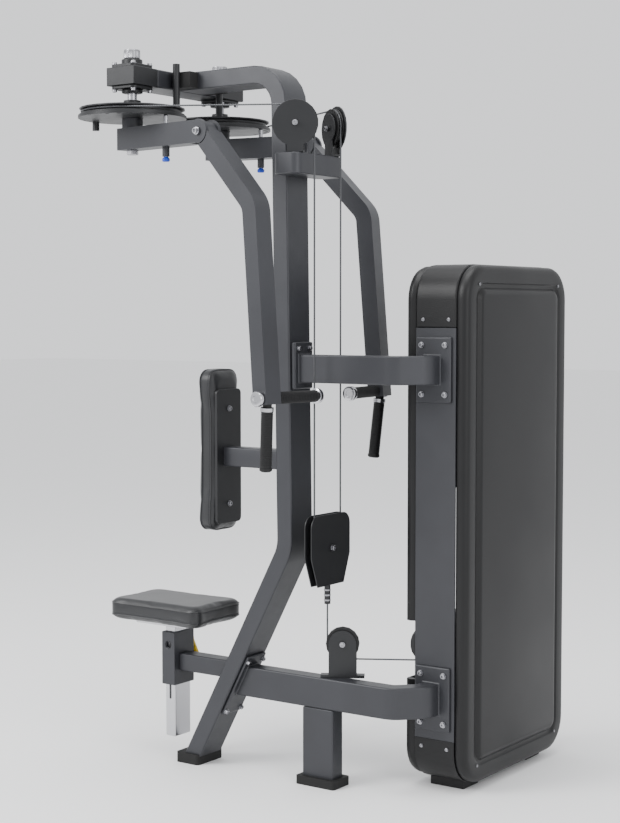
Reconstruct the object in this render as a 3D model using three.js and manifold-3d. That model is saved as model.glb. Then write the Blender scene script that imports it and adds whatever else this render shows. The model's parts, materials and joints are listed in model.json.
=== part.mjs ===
// Pec deck machine: a bent column with two swinging arms, a seat and back pad,
// and a weight-stack tower joined to it by two bent beams.
// Millimetres, +Z up, the user sits facing -Y, the tower stands behind and to the -X side.
import * as THREE from 'three';
import { mergeVertices } from 'three/addons/utils/BufferGeometryUtils.js';
import Module from 'manifold-3d';

const wasm = await Module();
wasm.setup();

// ---------------------------------------------------------------- driving dimensions
const GAP = 0.3;                       // clearance between touching pieces
const COLUMN = { wide: 100, deep: 50, footY: -485, bendY: -143, bendZ: 648, topY: -163, overheadZ: 1943 };
const PIVOT = { x: 195, y: -556, angle: THREE.MathUtils.degToRad(8) };
const CROSSBEAM = { y0: -606, y1: -506, z0: 1918, z1: 1968, half: 144.7 };
const HOUSING = { half: 50, flange: 44, corner: 16, plate: 9, boss: 29, bossTop: 24, bossLow: 18 };
const SHAFT = { radius: 13, bottom: 1735, top: 2004, knob: 22, knobTop: 2018, nut: 17 };
const DISC = { radius: 150, z0: 1830, z1: 1838, hub: 24, hubTop: 1880, holes: 6, holeStep: 14, holeRadius: 6 };
const CAM = { radius: 140, top: 1858, cableZ: 1848, lip: 6, groove: 4, inner: 30 };
const STOP = { x: 99, y: 76, radius: 10, top: 1986, bumperY: -136, bumperDrop: 24 };
const LINK = { length: 293, pinAlong: 138, z: 1774, tall: 60, wide: 55, ear: 32, cheek: 9, hinge: 9 };
const POP_PIN = { radius: 6, bore: 6.6, knob: 11, knobLow: 70, knobTop: 60, neck: 7 };
const ARM = { deep: 48, wide: 55, bendAlong: 483, bendZ: 1573, endAlong: 523, endZ: 1058 };
const HANDLE = { z: 1074, radius: 16, rod: 10, reach: 185, outerCap: 21, innerCap: 20, cap: 14 };
const GRIP = { length: 175, radius: 16, collar: 18, tilt: 5, splay: 3 };
const PULLEY = { groove: 50, rim: 54, wide: 16, axle: 8 };
const TOP_PULLEY = { strandX: 62, strandY: -34, z: 1798 };
const CROSSBAR = { half: 110, y0: -140, y1: -57, z0: 1664, z1: 1721 };
const CABLE = { radius: 2.5 };
const BLOCK = { z: 657, groove: 62, rim: 66, half: 92, low: -102, ferrule: 8.5, ferruleLow: -155 };
const BASE_SHEAVE = { groove: 42, rim: 46, z: 393 };
const LOW_SHEAVE = { groove: 45, rim: 49 };
const BEAM = { wide: 50, z0: 215, z1: 300, startY: -350, kneeY: 177, endX: -97.7, endY: 236, bend: 40 };
const LINKBEAM = { z0: 1105, z1: 1181, startY: -140, plateHalf: 42, plateY: -112, plateLow: 18, plateHigh: 34 };
const BASE_PLATE = { width: 84, depth: 30, height: 200, forward: 19, z: 258 };
const FLANGE = { y0: 186, y1: 293, upper: [1056, 1231], lower: [170, 345] };
const FOOT = { high: 30, floor: 6, frontHalf: 58, frontY0: -526, frontY1: -444, rearHalf: 40, rearHigh: 24 };
const PAD_PLATE = { half: 55, thick: 9, z0: 700, z1: 1080 };
const PAD_TUBE = { half: 25, z0: 863, z1: 917, seatZ0: 259, seatZ1: 309 };
const POST = { y0: -100, y1: 0, half: 25 };
const SLEEVE = { half: 45, y0: -588, y1: -540, z0: 217, z1: 372 };
const LEVER = { y: -564, z: 340, width: 18, kneeY: -528, tipY: -488, tipZ: 262, x0: -60, x1: -52 };
const SEAT_PLATE = { half: 70, y0: -665, y1: -475 };
const SEATPOST = { half: 35, y0: -582, y1: -546, z0: 64, z1: 394 };
const SEAT = { half: 120, y0: -748, y1: -398, z0: 403, z1: 465, corner: 30 };
const PAD = { half: 70, y0: -441, y1: -381, z0: 672, z1: 1143, corner: 32 };
const TOWER = { x0: -690, x1: -106, y0: 181, y1: 304, z0: 20, z1: 1425, corner: 95, wall: 5, capWall: 9 };
const CAP = { top: 170, bottom: 125, lip: 40 };
const PANEL = { inset: 4, depth: 34, bevel: 14, rim: 4, wall: 6 };
const WINDOW = { half: 55, z0: 200, z1: 800, slotZ0: 300, slotZ1: 460 };
const STACK = { half: 150, deep: 46, z0: 110, plate: 24, resting: 9, lifted: 6, stem: 46, baseZ: 60 };
const GUIDE = { radius: 10, x: 115, low: 66 };
const HEAD = { top: 60, rodTop: 32 };
const BUFFER = { y0: -503, y1: -440, z0: 1921, z1: 1965 };
const RUN = { x: -164, y: 242.5 };       // where the cable rises inside the tower

const towerX = (TOWER.x0 + TOWER.x1) / 2;
const towerY = (TOWER.y0 + TOWER.y1) / 2;
const reach = new THREE.Vector2(PIVOT.x - TOP_PULLEY.strandX, TOP_PULLEY.strandY - PIVOT.y);
const toe = Math.atan2(reach.x, reach.y) + Math.asin(CAM.radius / reach.length());
const runAngle = Math.atan2(-RUN.x, RUN.y - TOP_PULLEY.strandY);
const runway = new THREE.Vector3(-Math.sin(runAngle), Math.cos(runAngle), 0);
const cableLowZ = BASE_SHEAVE.z - BASE_SHEAVE.groove;
const headZ = TOWER.z1 - 110;

// ---------------------------------------------------------------- materials
const paint = (color, roughness, metalness) => () => (
  new THREE.MeshStandardMaterial({ color, roughness, metalness })
);
const framePaint = paint(0x55565c, 0.5, 0.35);
const darkPaint = paint(0x2c2d30, 0.55, 0.3);
const shroudPlastic = paint(0x141416, 0.45, 0);
const vinyl = paint(0x17181b, 0.5, 0);
const rubber = paint(0x1a1a1b, 0.85, 0);
const steel = paint(0xb9bbc0, 0.3, 0.9);
const chrome = paint(0xd7dade, 0.12, 1);
const blackSteel = paint(0x1d1e20, 0.45, 0.5);
const bluePlastic = paint(0x1c3f9e, 0.4, 0);
const yellowPlastic = paint(0xd9b51c, 0.45, 0);
const castIron = paint(0x26272a, 0.6, 0.4);

// ---------------------------------------------------------------- solids
function toSolid(geometry) {
  const plain = geometry.clone();
  plain.deleteAttribute('normal');
  plain.deleteAttribute('uv');
  const merged = mergeVertices(plain, 1e-3);
  return new wasm.Manifold(new wasm.Mesh({
    numProp: 3,
    vertProperties: new Float32Array(merged.attributes.position.array),
    triVerts: new Uint32Array(merged.index.array),
  }));
}

function toGeometry(solid) {
  const mesh = solid.getMesh();
  const geometry = new THREE.BufferGeometry();
  geometry.setAttribute('position', new THREE.BufferAttribute(mesh.vertProperties, 3));
  geometry.setIndex(new THREE.BufferAttribute(mesh.triVerts, 1));
  geometry.computeVertexNormals();
  return geometry;
}

const union = (...solids) => solids.reduce((sum, one) => sum.add(one));
const cut = (solid, ...tools) => tools.reduce((rest, one) => rest.subtract(one), solid);

function block(x0, x1, y0, y1, z0, z1) {
  const geometry = new THREE.BoxGeometry(x1 - x0, y1 - y0, z1 - z0);
  geometry.translate((x0 + x1) / 2, (y0 + y1) / 2, (z0 + z1) / 2);
  return toSolid(geometry);
}

// A cylinder from one point to another along one world axis.
function rod(axis, radius, from, to, u, v, sides = 16) {
  const geometry = new THREE.CylinderGeometry(radius, radius, to - from, sides);
  const middle = (from + to) / 2;
  if (axis === 'x') geometry.rotateZ(Math.PI / 2).translate(middle, u, v);
  if (axis === 'y') geometry.translate(u, middle, v);
  if (axis === 'z') geometry.rotateX(Math.PI / 2).translate(u, v, middle);
  return toSolid(geometry);
}

// An outline drawn in one plane and given depth along the third axis.
const across = new THREE.Vector3(1, 0, 0);
const ahead = new THREE.Vector3(0, 1, 0);
const up = new THREE.Vector3(0, 0, 1);
const planes = {
  yz: new THREE.Matrix4().makeBasis(ahead, up, across),
  xz: new THREE.Matrix4().makeBasis(across, up, ahead.clone().negate()),
  xy: new THREE.Matrix4(),
};

function prism(shape, plane, from, to, curveSegments = 3) {
  const geometry = new THREE.ExtrudeGeometry(shape, { depth: to - from, bevelEnabled: false, curveSegments });
  geometry.translate(0, 0, plane === 'xz' ? -to : from);
  return toSolid(geometry.applyMatrix4(planes[plane]));
}

function roundedRect(u0, u1, v0, v1, radius) {
  const shape = new THREE.Shape();
  shape.moveTo(u0 + radius, v0);
  shape.lineTo(u1 - radius, v0);
  shape.absarc(u1 - radius, v0 + radius, radius, -Math.PI / 2, 0);
  shape.lineTo(u1, v1 - radius);
  shape.absarc(u1 - radius, v1 - radius, radius, 0, Math.PI / 2);
  shape.lineTo(u0 + radius, v1);
  shape.absarc(u0 + radius, v1 - radius, radius, Math.PI / 2, Math.PI);
  shape.lineTo(u0, v0 + radius);
  shape.absarc(u0 + radius, v0 + radius, radius, Math.PI, 1.5 * Math.PI);
  return shape;
}

function circle(u, v, radius) {
  const shape = new THREE.Shape();
  shape.absarc(u, v, radius, 0, 2 * Math.PI);
  return shape;
}

// The outline of a flat bar of even thickness bent along a path: corners are [u, v, bend radius].
function ribbon(corners, thickness, steps = 6) {
  const points = corners.map(([u, v]) => new THREE.Vector2(u, v));
  const path = [{ at: points[0], along: points[1].clone().sub(points[0]).normalize() }];
  for (let i = 1; i < points.length - 1; i += 1) {
    const into = points[i].clone().sub(points[i - 1]).normalize();
    const out = points[i + 1].clone().sub(points[i]).normalize();
    const turn = Math.atan2(into.cross(out), into.dot(out));
    const radius = corners[i][2];
    const start = points[i].clone().addScaledVector(into, -radius * Math.tan(Math.abs(turn) / 2));
    const side = new THREE.Vector2(-into.y, into.x).multiplyScalar(Math.sign(turn) * radius);
    const centre = start.clone().add(side);
    for (let step = 0; step <= steps; step += 1) {
      const angle = (turn * step) / steps;
      path.push({
        at: start.clone().rotateAround(centre, angle),
        along: into.clone().rotateAround(new THREE.Vector2(), angle),
      });
    }
  }
  const last = points.at(-1);
  path.push({ at: last, along: last.clone().sub(points.at(-2)).normalize() });
  const edge = (sign) => path.map(({ at, along }) => new THREE.Vector2(
    at.x - along.y * sign * thickness / 2,
    at.y + along.x * sign * thickness / 2,
  ));
  return new THREE.Shape([...edge(-1), ...edge(1).reverse()]);
}

function turned(profile, sides = 16) {
  const points = profile.map(([radius, height]) => new THREE.Vector2(radius, height));
  return new THREE.LatheGeometry(points, sides);
}

// ---------------------------------------------------------------- scene graph
const machine = new THREE.Group();

function add(name, solid, material, parent = machine) {
  const mesh = new THREE.Mesh(toGeometry(solid), material());
  mesh.name = name;
  parent.add(mesh);
  return mesh;
}

function groupAt(x, y, z, turn = 0, parent = machine) {
  const group = new THREE.Group();
  group.position.set(x, y, z);
  group.rotation.z = turn;
  parent.add(group);
  return group;
}

const sides = [{ name: 'left', sign: 1 }, { name: 'right', sign: -1 }];

// ---------------------------------------------------------------- frame
const columnPath = [
  [COLUMN.footY, 0],
  [COLUMN.bendY, COLUMN.bendZ, 120],
  [COLUMN.topY, COLUMN.overheadZ, 85],
  [CROSSBEAM.y1 + GAP, COLUMN.overheadZ],
];

function columnBar(grow) {
  const path = columnPath.map((corner) => [...corner]);
  const shape = ribbon(path, COLUMN.deep + 2 * grow);
  const bar = prism(shape, 'yz', -COLUMN.wide / 2 - grow, COLUMN.wide / 2 + grow);
  return cut(bar, block(-COLUMN.wide, COLUMN.wide, -700, 0, -60, FOOT.floor));
}

const columnClearance = columnBar(GAP);
add('main_column', columnBar(0), framePaint);
add('front_foot', cut(
  prism(roundedRect(-FOOT.frontHalf, FOOT.frontHalf, FOOT.frontY0, FOOT.frontY1, 10), 'xy', 0, FOOT.high),
  columnClearance,
), rubber);
add('pivot_crossbeam', block(
  -CROSSBEAM.half, CROSSBEAM.half, CROSSBEAM.y0, CROSSBEAM.y1, CROSSBEAM.z0, CROSSBEAM.z1,
), framePaint);

const beamPlan = (y) => ribbon(
  [[0, y], [0, BEAM.kneeY, BEAM.bend], [-59, BEAM.endY, BEAM.bend], [BEAM.endX, BEAM.endY]],
  BEAM.wide,
);
const towerFlange = ([z0, z1]) => block(TOWER.x1 + GAP, BEAM.endX, FLANGE.y0, FLANGE.y1, z0, z1);

function upperLinkBeam() {
  const beam = prism(beamPlan(LINKBEAM.startY), 'xy', LINKBEAM.z0, LINKBEAM.z1);
  const columnPlate = block(
    -LINKBEAM.plateHalf, LINKBEAM.plateHalf, LINKBEAM.startY, LINKBEAM.plateY,
    LINKBEAM.z0 - LINKBEAM.plateLow, LINKBEAM.z1 + LINKBEAM.plateHigh,
  );
  return cut(union(beam, columnPlate, towerFlange(FLANGE.upper)), columnClearance);
}

function baseBeam() {
  const beam = prism(beamPlan(BEAM.startY), 'xy', BEAM.z0, BEAM.z1);
  const lean = Math.atan2(COLUMN.bendY - COLUMN.footY, COLUMN.bendZ);
  const plate = new THREE.BoxGeometry(BASE_PLATE.width, BASE_PLATE.depth, BASE_PLATE.height);
  plate.translate(0, BASE_PLATE.forward, 0).rotateX(-lean);
  plate.translate(0, COLUMN.footY + Math.tan(lean) * BASE_PLATE.z, BASE_PLATE.z);
  return cut(union(beam, toSolid(plate), towerFlange(FLANGE.lower)), columnClearance);
}

add('upper_link_beam', upperLinkBeam(), framePaint);
add('base_beam', baseBeam(), framePaint);
add('rear_post', block(-POST.half, POST.half, POST.y0, POST.y1, FOOT.floor, BEAM.z0 - GAP), framePaint);
add('rear_foot', cut(
  prism(roundedRect(-FOOT.rearHalf, FOOT.rearHalf, POST.y0 - 14, POST.y1 + 14, 8), 'xy', 0, FOOT.rearHigh),
  block(-POST.half - GAP, POST.half + GAP, POST.y0 - GAP, POST.y1 + GAP, FOOT.floor - GAP, FOOT.high),
), rubber);
const crossbarPlan = roundedRect(-CROSSBAR.half, CROSSBAR.half, CROSSBAR.y0, CROSSBAR.y1, 22);
add('pulley_crossbar', cut(prism(crossbarPlan, 'xy', CROSSBAR.z0, CROSSBAR.z1), columnClearance), framePaint);

// ---------------------------------------------------------------- back pad and seat
function padSlab({ half, y0, y1, z0, z1, corner }, plane) {
  if (plane === 'xz') return prism(roundedRect(-half, half, z0, z1, corner), 'xz', y0, y1);
  return prism(roundedRect(-half, half, y0, y1, corner), 'xy', z0, z1);
}

add('pad_support', cut(union(
  block(-PAD_TUBE.half, PAD_TUBE.half, PAD.y1 + 4, -150, PAD_TUBE.z0, PAD_TUBE.z1),
  block(-PAD_PLATE.half, PAD_PLATE.half, PAD.y1 + GAP, PAD.y1 + PAD_PLATE.thick, PAD_PLATE.z0, PAD_PLATE.z1),
), columnClearance), framePaint);
add('back_pad', padSlab(PAD, 'xz'), vinyl);
add('seat_beam', cut(
  block(-PAD_TUBE.half, PAD_TUBE.half, SLEEVE.y1 + GAP, -342, PAD_TUBE.seatZ0, PAD_TUBE.seatZ1),
  columnClearance,
), framePaint);

const postBore = block(
  -SEATPOST.half - GAP, SEATPOST.half + GAP, SEATPOST.y0 - GAP, SEATPOST.y1 + GAP, 0, SEAT.z0,
);
add('seat_sleeve', cut(block(-SLEEVE.half, SLEEVE.half, SLEEVE.y0, SLEEVE.y1, SLEEVE.z0, SLEEVE.z1), postBore,
  rod('x', 11, SEATPOST.half - 2, 60, LEVER.y, 334)), framePaint);
add('seat_post', union(
  block(-SEATPOST.half, SEATPOST.half, SEATPOST.y0, SEATPOST.y1, SEATPOST.z0, SEATPOST.z1),
  block(-SEAT_PLATE.half, SEAT_PLATE.half, SEAT_PLATE.y0, SEAT_PLATE.y1, SEATPOST.z1 - 0.5, SEAT.z0 - GAP),
), chrome);
add('seat_pad', padSlab(SEAT, 'xy'), vinyl);
add('seat_lever', union(
  rod('x', 12, LEVER.x0, -SLEEVE.half - GAP, LEVER.y, LEVER.z, 12),
  prism(ribbon(
    [[LEVER.y, LEVER.z], [LEVER.kneeY, 268, 24], [LEVER.tipY, LEVER.tipZ]],
    LEVER.width,
    3,
  ), 'yz', LEVER.x0, LEVER.x1),
), yellowPlastic);

// ---------------------------------------------------------------- pulleys
// A grooved wheel turning about local X, with its groove in the local YZ plane.
function sheave({ groove, rim, wide = PULLEY.wide, bore = PULLEY.axle + 0.4 }) {
  const half = wide / 2;
  const geometry = turned([
    [bore, -half], [rim, -half], [rim, -half + 2], [groove - CABLE.radius - 1, -2],
    [groove - CABLE.radius - 1, 2], [rim, half - 2], [rim, half], [bore, half], [bore, -half],
  ]);
  return toSolid(geometry.rotateZ(-Math.PI / 2));
}

function bracketCheek(x0, x1, radius, footZ, footHalf) {
  return union(rod('x', radius, x0, x1, 0, 0, 22), block(x0, x1, -footHalf, footHalf, footZ, 0));
}

function topPulleySet({ name, sign }) {
  const centre = new THREE.Vector3(
    sign * (TOP_PULLEY.strandX + PULLEY.groove * Math.sin(toe)),
    TOP_PULLEY.strandY - PULLEY.groove * Math.cos(toe),
    TOP_PULLEY.z,
  );
  const group = groupAt(centre.x, centre.y, centre.z, sign * toe);
  const footZ = CROSSBAR.z1 + GAP - TOP_PULLEY.z;
  const near = sign > 0 ? [9.5, 13.5] : [-13.5, -9.5];
  const far = sign > 0 ? [-13.5, -9.5] : [9.5, 13.5];
  add(`top_pulley_bracket_${name}`, union(
    bracketCheek(near[0], near[1], 62, footZ, 22),
    bracketCheek(far[0], far[1], 40, footZ, 22),
    block(-13.5, 13.5, -22, 22, footZ, footZ + 6),
    rod('x', PULLEY.axle, -19, 19, 0, 0, 16),
  ), blackSteel, group);
  add(`top_pulley_${name}`, sheave(PULLEY), shroudPlastic, group);
}

sides.forEach(topPulleySet);

const sheaveCentre = new THREE.Vector3(0, TOP_PULLEY.strandY, BASE_SHEAVE.z)
  .addScaledVector(runway, BASE_SHEAVE.groove);
const baseSet = groupAt(sheaveCentre.x, sheaveCentre.y, sheaveCentre.z, runAngle);
const baseFootZ = BEAM.z1 + GAP - BASE_SHEAVE.z;
add('base_pulley_bracket', union(
  bracketCheek(9.5, 14, 38, baseFootZ, 38),
  bracketCheek(-14, -9.5, 38, baseFootZ, 38),
  block(-14, 14, -60, 60, baseFootZ, baseFootZ + 8),
  rod('x', PULLEY.axle, -19, 19, 0, 0, 16),
), blackSteel, baseSet);
add('base_pulley', sheave(BASE_SHEAVE), shroudPlastic, baseSet);

const lowCentre = new THREE.Vector3(RUN.x, RUN.y, cableLowZ + LOW_SHEAVE.groove)
  .addScaledVector(runway, -LOW_SHEAVE.groove);
const lowSet = groupAt(lowCentre.x, lowCentre.y, lowCentre.z, runAngle);
add('low_pulley_bracket', union(
  bracketCheek(9.5, 12.5, 50, -76, 14),
  bracketCheek(-12.5, -9.5, 50, -76, 14),
  block(-12.5, 12.5, -14, 50, -80, -74),
  rod('x', PULLEY.axle, -15, 15, 0, 0, 16),
), blackSteel, lowSet);
add('low_pulley', sheave(LOW_SHEAVE), shroudPlastic, lowSet);

const headCentres = [RUN.x - LOW_SHEAVE.groove, towerX + LOW_SHEAVE.groove];
['near', 'far'].forEach((name, index) => {
  const group = groupAt(headCentres[index], towerY, headZ, Math.PI / 2);
  add(`head_pulley_${name}`, sheave(LOW_SHEAVE), shroudPlastic, group);
});

const blockSet = groupAt(0, TOP_PULLEY.strandY, BLOCK.z, Math.PI / 2);

function blockCheek(x0, x1) {
  const shape = new THREE.Shape([
    [-BLOCK.half, -22], [-62, BLOCK.low], [62, BLOCK.low], [BLOCK.half, -22],
  ].map(([u, v]) => new THREE.Vector2(u, v)));
  shape.absarc(60, 60, 32, 0, Math.PI / 2);
  shape.absarc(-60, 60, 32, Math.PI / 2, Math.PI);
  return prism(shape, 'yz', x0, x1);
}

add('floating_block', cut(union(
  blockCheek(9, 12),
  blockCheek(-12, -9),
  block(-11, 11, -20, 20, -100, -84),
  rod('x', PULLEY.axle, -16.5, 16.5, 0, 0, 16),
  rod('z', BLOCK.ferrule, BLOCK.ferruleLow, -92, 0, 0, 12),
), rod('z', CABLE.radius + 0.5, BLOCK.ferruleLow - 1, BLOCK.ferruleLow + 5, 0, 0, 12)), blackSteel, blockSet);
add('block_pulley', sheave(BLOCK), shroudPlastic, blockSet);

// ---------------------------------------------------------------- tower
const towerOutline = (inset) => roundedRect(
  TOWER.x0 + inset, TOWER.x1 - inset, TOWER.z0 + inset, TOWER.z1 - inset, TOWER.corner - inset,
);

function towerRing(wall) {
  const outer = towerOutline(0);
  const inner = towerOutline(wall);
  return prism(outer, 'xz', TOWER.y0, TOWER.y1).subtract(prism(inner, 'xz', TOWER.y0 - 1, TOWER.y1 + 1));
}

const capTop = TOWER.z1 - CAP.top;
const capBottom = TOWER.z0 + CAP.bottom;
const wide = [TOWER.x0 - 50, TOWER.x1 + 50, TOWER.y0 - 50, TOWER.y1 + 50];
const steelBand = towerRing(TOWER.wall);
const wallBand = (x0, x1) => steelBand.intersect(
  block(x0, x1, TOWER.y0 - 1, TOWER.y1 + 1, capBottom + GAP, capTop - GAP),
);
add('tower_side_near', wallBand(TOWER.x1 - CAP.lip, TOWER.x1 + 1), framePaint);
add('tower_side_far', wallBand(TOWER.x0 - 1, TOWER.x0 + CAP.lip), framePaint);

const capBand = towerRing(TOWER.capWall);
add('tower_top_cap', capBand.intersect(block(...wide, capTop, TOWER.z1 + 10)), shroudPlastic);
add('tower_bottom_cap', union(
  capBand.intersect(block(...wide, 0, capBottom)),
  block(TOWER.x0 + 70, TOWER.x0 + 150, TOWER.y0 + 10, TOWER.y1 - 10, 0, TOWER.z0 + 4),
  block(TOWER.x1 - 150, TOWER.x1 - 70, TOWER.y0 + 10, TOWER.y1 - 10, 0, TOWER.z0 + 4),
), shroudPlastic);

// A dished panel against the tower's face at backY, a bevelled slab with a pocket behind it.
function dishedPanel(backY, facing) {
  const { depth, bevel, wall } = PANEL;
  const grown = PANEL.inset + bevel;
  const slab = new THREE.ExtrudeGeometry(towerOutline(grown), {
    depth: depth - 2 * bevel, bevelThickness: bevel, bevelSize: bevel, bevelSegments: 2, curveSegments: 4,
  });
  slab.translate(0, 0, bevel).applyMatrix4(planes.xz);
  slab.translate(0, facing > 0 ? backY + depth : backY, 0);
  const span = facing > 0 ? [backY - 1, backY + depth - wall] : [backY - depth + wall, backY + 1];
  return toSolid(slab).subtract(prism(towerOutline(grown + PANEL.rim), 'xz', ...span, 4));
}

const frontCut = (x0, x1, z0, z1) => block(x0, x1, TOWER.y0 - 60, TOWER.y0, z0, z1);
const pinWindow = frontCut(towerX - WINDOW.half, towerX + WINDOW.half, WINDOW.z0, WINDOW.z1);
const cableSlot = frontCut(TOWER.x1 - 90, TOWER.x1 + 20, WINDOW.slotZ0, WINDOW.slotZ1);
add('rear_shroud', dishedPanel(TOWER.y1 + GAP, 1), shroudPlastic);
add('front_shroud', cut(dishedPanel(TOWER.y0 - GAP, -1), pinWindow, cableSlot), shroudPlastic);

const inside = [TOWER.x0 + TOWER.wall + GAP, TOWER.x1 - TOWER.wall - GAP];
const rodBores = (clearance, from, to) => [-GUIDE.x, GUIDE.x].map(
  (x) => rod('z', GUIDE.radius + clearance, from, to, towerX + x, towerY, 12),
);
const rodHoles = rodBores(0.5, 0, TOWER.z1);
add('tower_base_plate', cut(
  block(inside[0] + 60, inside[1] - 60, TOWER.y0 + 12, TOWER.y1 - 12, STACK.baseZ, STACK.baseZ + 12),
  ...rodBores(GAP, GUIDE.low, 80),
), blackSteel);
const headCheek = (y0, y1) => block(
  towerX - GUIDE.x - 16, headCentres[0] + 30, y0, y1, headZ - 26, headZ + HEAD.top + 3,
);
const rodClamp = (x) => block(
  towerX + x - 14, towerX + x + 14, towerY - 12, towerY + 12, headZ + 14, headZ + HEAD.rodTop + 6,
);
add('tower_head_bracket', cut(union(
  headCheek(towerY + 11, towerY + 14),
  headCheek(towerY - 14, towerY - 11),
  block(inside[0] + 40, inside[1] - 40, TOWER.y0 + 20, TOWER.y1 - 20, headZ + HEAD.top, headZ + HEAD.top + 8),
  rodClamp(-GUIDE.x),
  rodClamp(GUIDE.x),
  ...headCentres.map((x) => rod('y', PULLEY.axle, towerY - 17, towerY + 17, x, headZ, 16)),
), ...rodBores(GAP, headZ, headZ + HEAD.rodTop)), blackSteel);

// A stack of plates held as one solid, with a groove at every joint between plates.
function plateStack(z0, count) {
  const groove = 4;
  const outline = [];
  for (let i = 0; i < count; i += 1) {
    const low = z0 + i * STACK.plate;
    outline.push([STACK.half, low + 0.8], [STACK.half, low + STACK.plate - 0.8]);
    if (i < count - 1) outline.push([STACK.half - groove, low + STACK.plate]);
  }
  const right = outline.map(([x, z]) => new THREE.Vector2(towerX + x, z));
  const left = outline.map(([x, z]) => new THREE.Vector2(towerX - x, z)).reverse();
  return prism(new THREE.Shape([...right, ...left]), 'xz', towerY - STACK.deep, towerY + STACK.deep);
}

const liftZ = STACK.z0 + STACK.resting * STACK.plate;
const liftTop = liftZ + STACK.lifted * STACK.plate;
const pinZ = liftZ + STACK.plate / 2;
add('weight_plates_resting', cut(plateStack(STACK.z0, STACK.resting), ...rodHoles), castIron);
add('weight_plates_lifted', cut(
  union(plateStack(liftZ, STACK.lifted), rod('z', 14, liftTop - 2, liftTop + STACK.stem, towerX, towerY, 12)),
  ...rodHoles,
  rod('y', 5.4, towerY - STACK.deep - 1, towerY + 10, towerX, pinZ, 12),
), castIron);
[['near', GUIDE.x], ['far', -GUIDE.x]].forEach(([name, x]) => {
  add(`guide_rod_${name}`, rod(
    'z', GUIDE.radius, GUIDE.low + GAP, headZ + HEAD.rodTop - GAP, towerX + x, towerY, 12,
  ), chrome);
});
add('selector_pin', union(
  rod('y', 5, towerY - STACK.deep - 12, towerY + 5, towerX, pinZ, 10),
  rod('y', 15, towerY - STACK.deep - 34, towerY - STACK.deep - 11, towerX, pinZ, 16),
), yellowPlastic);

// ---------------------------------------------------------------- arms
function pivotHousing({ name, sign }) {
  const x = sign * PIVOT.x;
  const { flange, plate, boss } = HOUSING;
  const flangePlan = roundedRect(x - flange, x + flange, PIVOT.y - flange, PIVOT.y + flange, HOUSING.corner);
  add(`pivot_housing_${name}`, cut(union(
    block(x - HOUSING.half, x + HOUSING.half, CROSSBEAM.y0, CROSSBEAM.y1, CROSSBEAM.z0, CROSSBEAM.z1),
    prism(flangePlan, 'xy', CROSSBEAM.z1 - 1, CROSSBEAM.z1 + plate),
    prism(flangePlan, 'xy', CROSSBEAM.z0 - plate, CROSSBEAM.z0 + 1),
    rod('z', boss, CROSSBEAM.z1 + plate - 1, CROSSBEAM.z1 + HOUSING.bossTop, x, PIVOT.y),
    rod('z', boss, CROSSBEAM.z0 - HOUSING.bossLow, CROSSBEAM.z0 - plate + 1, x, PIVOT.y),
  ), rod('z', SHAFT.radius + 0.4, 1800, 2010, x, PIVOT.y, 16)), darkPaint);
}

function stopBuffer({ name, sign }) {
  const near = COLUMN.wide / 2 + GAP;
  const far = PIVOT.x - STOP.x - STOP.radius - GAP;
  const x = sign > 0 ? [near, far] : [-far, -near];
  add(`stop_buffer_${name}`, block(...x, BUFFER.y0, BUFFER.y1, BUFFER.z0, BUFFER.z1), rubber);
}

// The start-position holes lie on an arc, the first in line with the resting arm.
function discHole(sign, index) {
  const angle = Math.PI / 2 - sign * (PIVOT.angle + index * THREE.MathUtils.degToRad(DISC.holeStep));
  const along = LINK.pinAlong;
  return rod('z', DISC.holeRadius, DISC.z0 - 1, DISC.z1, along * Math.cos(angle), along * Math.sin(angle), 8);
}

function camRing() {
  const { radius, lip, groove, inner, top, cableZ } = CAM;
  return toSolid(turned([
    [inner, DISC.z1 - 1], [radius + lip, DISC.z1 - 1], [radius + lip, DISC.z1 + 4],
    [radius - groove, cableZ - 3], [radius - groove, cableZ + 3],
    [radius + lip, top - 4], [radius + lip, top], [radius - 10, top],
    [radius - 10, DISC.z1 + 2], [inner, DISC.z1 + 2], [inner, DISC.z1 - 1],
  ], 24).rotateX(Math.PI / 2));
}

function selectorDisc({ name, sign }) {
  const group = groupAt(sign * PIVOT.x, PIVOT.y, 0);
  const disc = union(
    prism(circle(0, 0, DISC.radius), 'xy', DISC.z0, DISC.z1, 14),
    camRing(),
    rod('z', DISC.hub, DISC.z1 - 1, DISC.hubTop, 0, 0),
    rod('z', STOP.radius, DISC.z1 - 1, STOP.top, -sign * STOP.x, STOP.y),
    rod('z', STOP.radius, DISC.z0 - STOP.bumperDrop, DISC.z0 + 1, 0, STOP.bumperY, 12),
  );
  const holes = Array.from({ length: DISC.holes }, (_, index) => discHole(sign, index));
  const bore = rod('z', SHAFT.radius + GAP, 1800, 1900, 0, 0);
  add(`selector_disc_${name}`, cut(disc, bore, ...holes), blackSteel, group);
  add(`pivot_shaft_${name}`, union(
    rod('z', SHAFT.radius, SHAFT.bottom, SHAFT.top, 0, 0),
    rod('z', SHAFT.knob, CROSSBEAM.z1 + HOUSING.bossTop + 2, SHAFT.knobTop, 0, 0, 24),
    rod('z', SHAFT.nut, SHAFT.bottom - 4, LINK.z - LINK.tall / 2 - GAP, 0, 0, 6),
  ), steel, group);
}

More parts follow.
